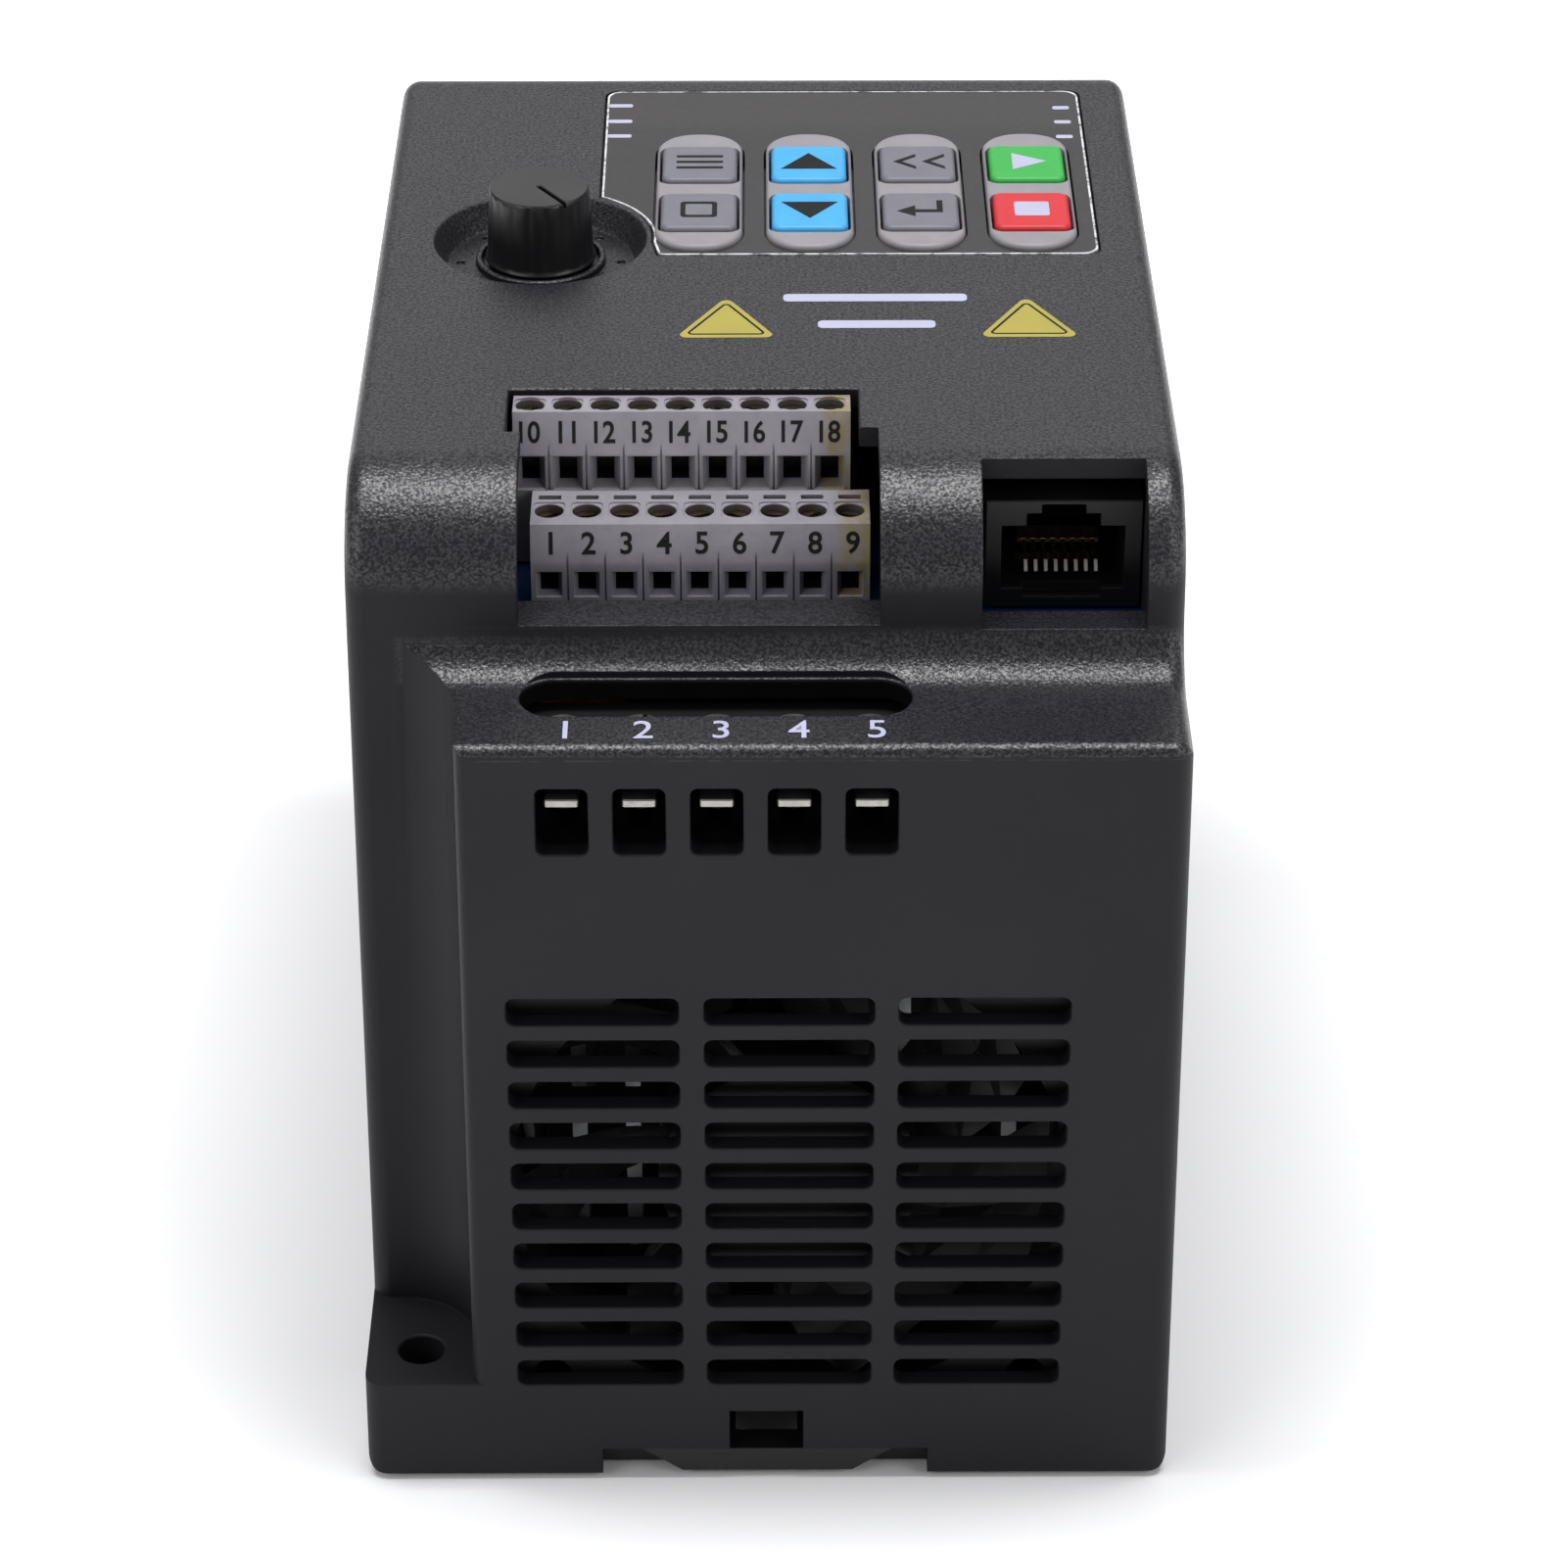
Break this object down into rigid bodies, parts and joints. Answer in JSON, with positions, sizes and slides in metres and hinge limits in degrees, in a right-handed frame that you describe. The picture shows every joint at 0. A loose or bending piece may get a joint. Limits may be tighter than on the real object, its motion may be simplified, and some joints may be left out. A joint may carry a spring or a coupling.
{
  "type": "variable frequency drive",
  "caption": "Compact variable frequency drive with a keypad and speed dial on its front panel, clamp terminals, a network socket, a fan grille and a rail clip.",
  "frame": {"origin": "centre of the bounding box at the back face, where the drive rests on a panel or table", "axes": "+Z out of the front panel, +X to the right across the width, -Y the fan grille end with the output terminals"},
  "size_m": [0.085, 0.1414, 0.1151],
  "materials": {
    "housing_plastic": "fine spark-textured moulded plastic",
    "keypad_film": "semi-gloss printed film",
    "keypad_silicone": "satin silicone",
    "key_grey": "satin",
    "key_blue": "satin",
    "key_green": "satin",
    "key_red": "satin",
    "black_plastic": "satin moulded",
    "display": "smoked gloss",
    "terminal_plastic": "satin moulded",
    "board_blue": "solder-masked laminate",
    "board_green": "solder-masked laminate",
    "zinc_steel": "zinc plated",
    "gold_contact": "gold plated",
    "aluminium": "extruded",
    "capacitor_sleeve": "shrink sleeve",
    "relay_case": "moulded case",
    "transformer_tape": "yellow winding tape",
    "winding": "enamelled wire"
  },
  "bodies": {
    "housing": {"front_housing": "housing_plastic", "rear_base": "housing_plastic", "din_spring": "zinc_steel", "keypad_overlay": "keypad_film", "keypad_mat": "keypad_silicone", "display_module": "display", "display_board": "board_green", "pot_body": "zinc_steel", "control_board": "board_blue", "control_terminal_lower": "terminal_plastic", "control_terminal_upper": "terminal_plastic", "network_jack": "black_plastic", "jack_contacts": "gold_contact", "board_connector": "black_plastic", "display_connector": "black_plastic", "power_board": "board_green", "output_terminal_block": "black_plastic", "input_terminal_block": "black_plastic", "heatsink": "aluminium", "power_module": "black_plastic", "rectifier_bridge": "black_plastic", "bus_capacitor_1": "capacitor_sleeve", "bus_capacitor_2": "capacitor_sleeve", "relay": "relay_case", "transformer": "transformer_tape", "filter_choke": "winding", "fan_frame": "black_plastic", "fan_stator": "winding", "base_screw_1": "zinc_steel", "base_screw_2": "zinc_steel", "base_screw_3": "zinc_steel", "base_screw_4": "zinc_steel", "output_clamp_1": "zinc_steel", "output_clamp_2": "zinc_steel", "output_clamp_3": "zinc_steel", "output_clamp_4": "zinc_steel", "output_clamp_5": "zinc_steel"},
    "knob": {"knob": "black_plastic", "pot_shaft": "zinc_steel"},
    "fan_rotor": {"fan_rotor": "black_plastic"},
    "din_clip": {"din_clip": "housing_plastic"},
    "key_menu": {"key_menu": "key_grey"},
    "key_up": {"key_up": "key_blue"},
    "key_shift": {"key_shift": "key_grey"},
    "key_run": {"key_run": "key_green"},
    "key_function": {"key_function": "key_grey"},
    "key_down": {"key_down": "key_blue"},
    "key_enter": {"key_enter": "key_grey"},
    "key_stop": {"key_stop": "key_red"},
    "output_screw_1": {"output_screw_1": "zinc_steel"},
    "output_screw_2": {"output_screw_2": "zinc_steel"},
    "output_screw_3": {"output_screw_3": "zinc_steel"},
    "output_screw_4": {"output_screw_4": "zinc_steel"},
    "output_screw_5": {"output_screw_5": "zinc_steel"},
    "input_screw_1": {"input_screw_1": "zinc_steel"},
    "input_screw_2": {"input_screw_2": "zinc_steel"},
    "input_screw_3": {"input_screw_3": "zinc_steel"}
  },
  "joints": [
    {"name": "knob_turn", "type": "hinge", "parent": "housing", "child": "knob", "pos_m": [-0.0242, 0.00535, 0.107], "axis": [0, 0, 1], "range_deg": [0, 300]},
    {"name": "fan_spin", "type": "hinge", "parent": "housing", "child": "fan_rotor", "pos_m": [0.0023, -0.06035, 0.0362], "axis": [0, 1, 0], "continuous": true},
    {"name": "rail_clip_slide", "type": "slide", "parent": "housing", "child": "din_clip", "axis": [0, -1, 0], "range_m": [0, 0.005], "stiffness_N_per_m": 800, "deforming": ["din_spring"]},
    {"name": "key_menu_press", "type": "slide", "parent": "housing", "child": "key_menu", "axis": [0, 0, -1], "range_m": [0, 0.0005], "stiffness_N_per_m": 400},
    {"name": "key_up_press", "type": "slide", "parent": "housing", "child": "key_up", "axis": [0, 0, -1], "range_m": [0, 0.0005], "stiffness_N_per_m": 400},
    {"name": "key_shift_press", "type": "slide", "parent": "housing", "child": "key_shift", "axis": [0, 0, -1], "range_m": [0, 0.0005], "stiffness_N_per_m": 400},
    {"name": "key_run_press", "type": "slide", "parent": "housing", "child": "key_run", "axis": [0, 0, -1], "range_m": [0, 0.0005], "stiffness_N_per_m": 400},
    {"name": "key_function_press", "type": "slide", "parent": "housing", "child": "key_function", "axis": [0, 0, -1], "range_m": [0, 0.0005], "stiffness_N_per_m": 400},
    {"name": "key_down_press", "type": "slide", "parent": "housing", "child": "key_down", "axis": [0, 0, -1], "range_m": [0, 0.0005], "stiffness_N_per_m": 400},
    {"name": "key_enter_press", "type": "slide", "parent": "housing", "child": "key_enter", "axis": [0, 0, -1], "range_m": [0, 0.0005], "stiffness_N_per_m": 400},
    {"name": "key_stop_press", "type": "slide", "parent": "housing", "child": "key_stop", "axis": [0, 0, -1], "range_m": [0, 0.0005], "stiffness_N_per_m": 400},
    {"name": "output_screw_1_turn", "type": "hinge", "parent": "housing", "child": "output_screw_1", "pos_m": [-0.02007, -0.0614, 0.086], "axis": [0, 0, 1], "continuous": true},
    {"name": "output_screw_2_turn", "type": "hinge", "parent": "housing", "child": "output_screw_2", "pos_m": [-0.01245, -0.0614, 0.086], "axis": [0, 0, 1], "continuous": true},
    {"name": "output_screw_3_turn", "type": "hinge", "parent": "housing", "child": "output_screw_3", "pos_m": [-0.00483, -0.0614, 0.086], "axis": [0, 0, 1], "continuous": true},
    {"name": "output_screw_4_turn", "type": "hinge", "parent": "housing", "child": "output_screw_4", "pos_m": [0.00279, -0.0614, 0.086], "axis": [0, 0, 1], "continuous": true},
    {"name": "output_screw_5_turn", "type": "hinge", "parent": "housing", "child": "output_screw_5", "pos_m": [0.01041, -0.0614, 0.086], "axis": [0, 0, 1], "continuous": true},
    {"name": "input_screw_1_turn", "type": "hinge", "parent": "housing", "child": "input_screw_1", "pos_m": [0.02007, 0.0614, 0.086], "axis": [0, 0, 1], "continuous": true},
    {"name": "input_screw_2_turn", "type": "hinge", "parent": "housing", "child": "input_screw_2", "pos_m": [0.01245, 0.0614, 0.086], "axis": [0, 0, 1], "continuous": true},
    {"name": "input_screw_3_turn", "type": "hinge", "parent": "housing", "child": "input_screw_3", "pos_m": [0.00483, 0.0614, 0.086], "axis": [0, 0, 1], "continuous": true}
  ]
}
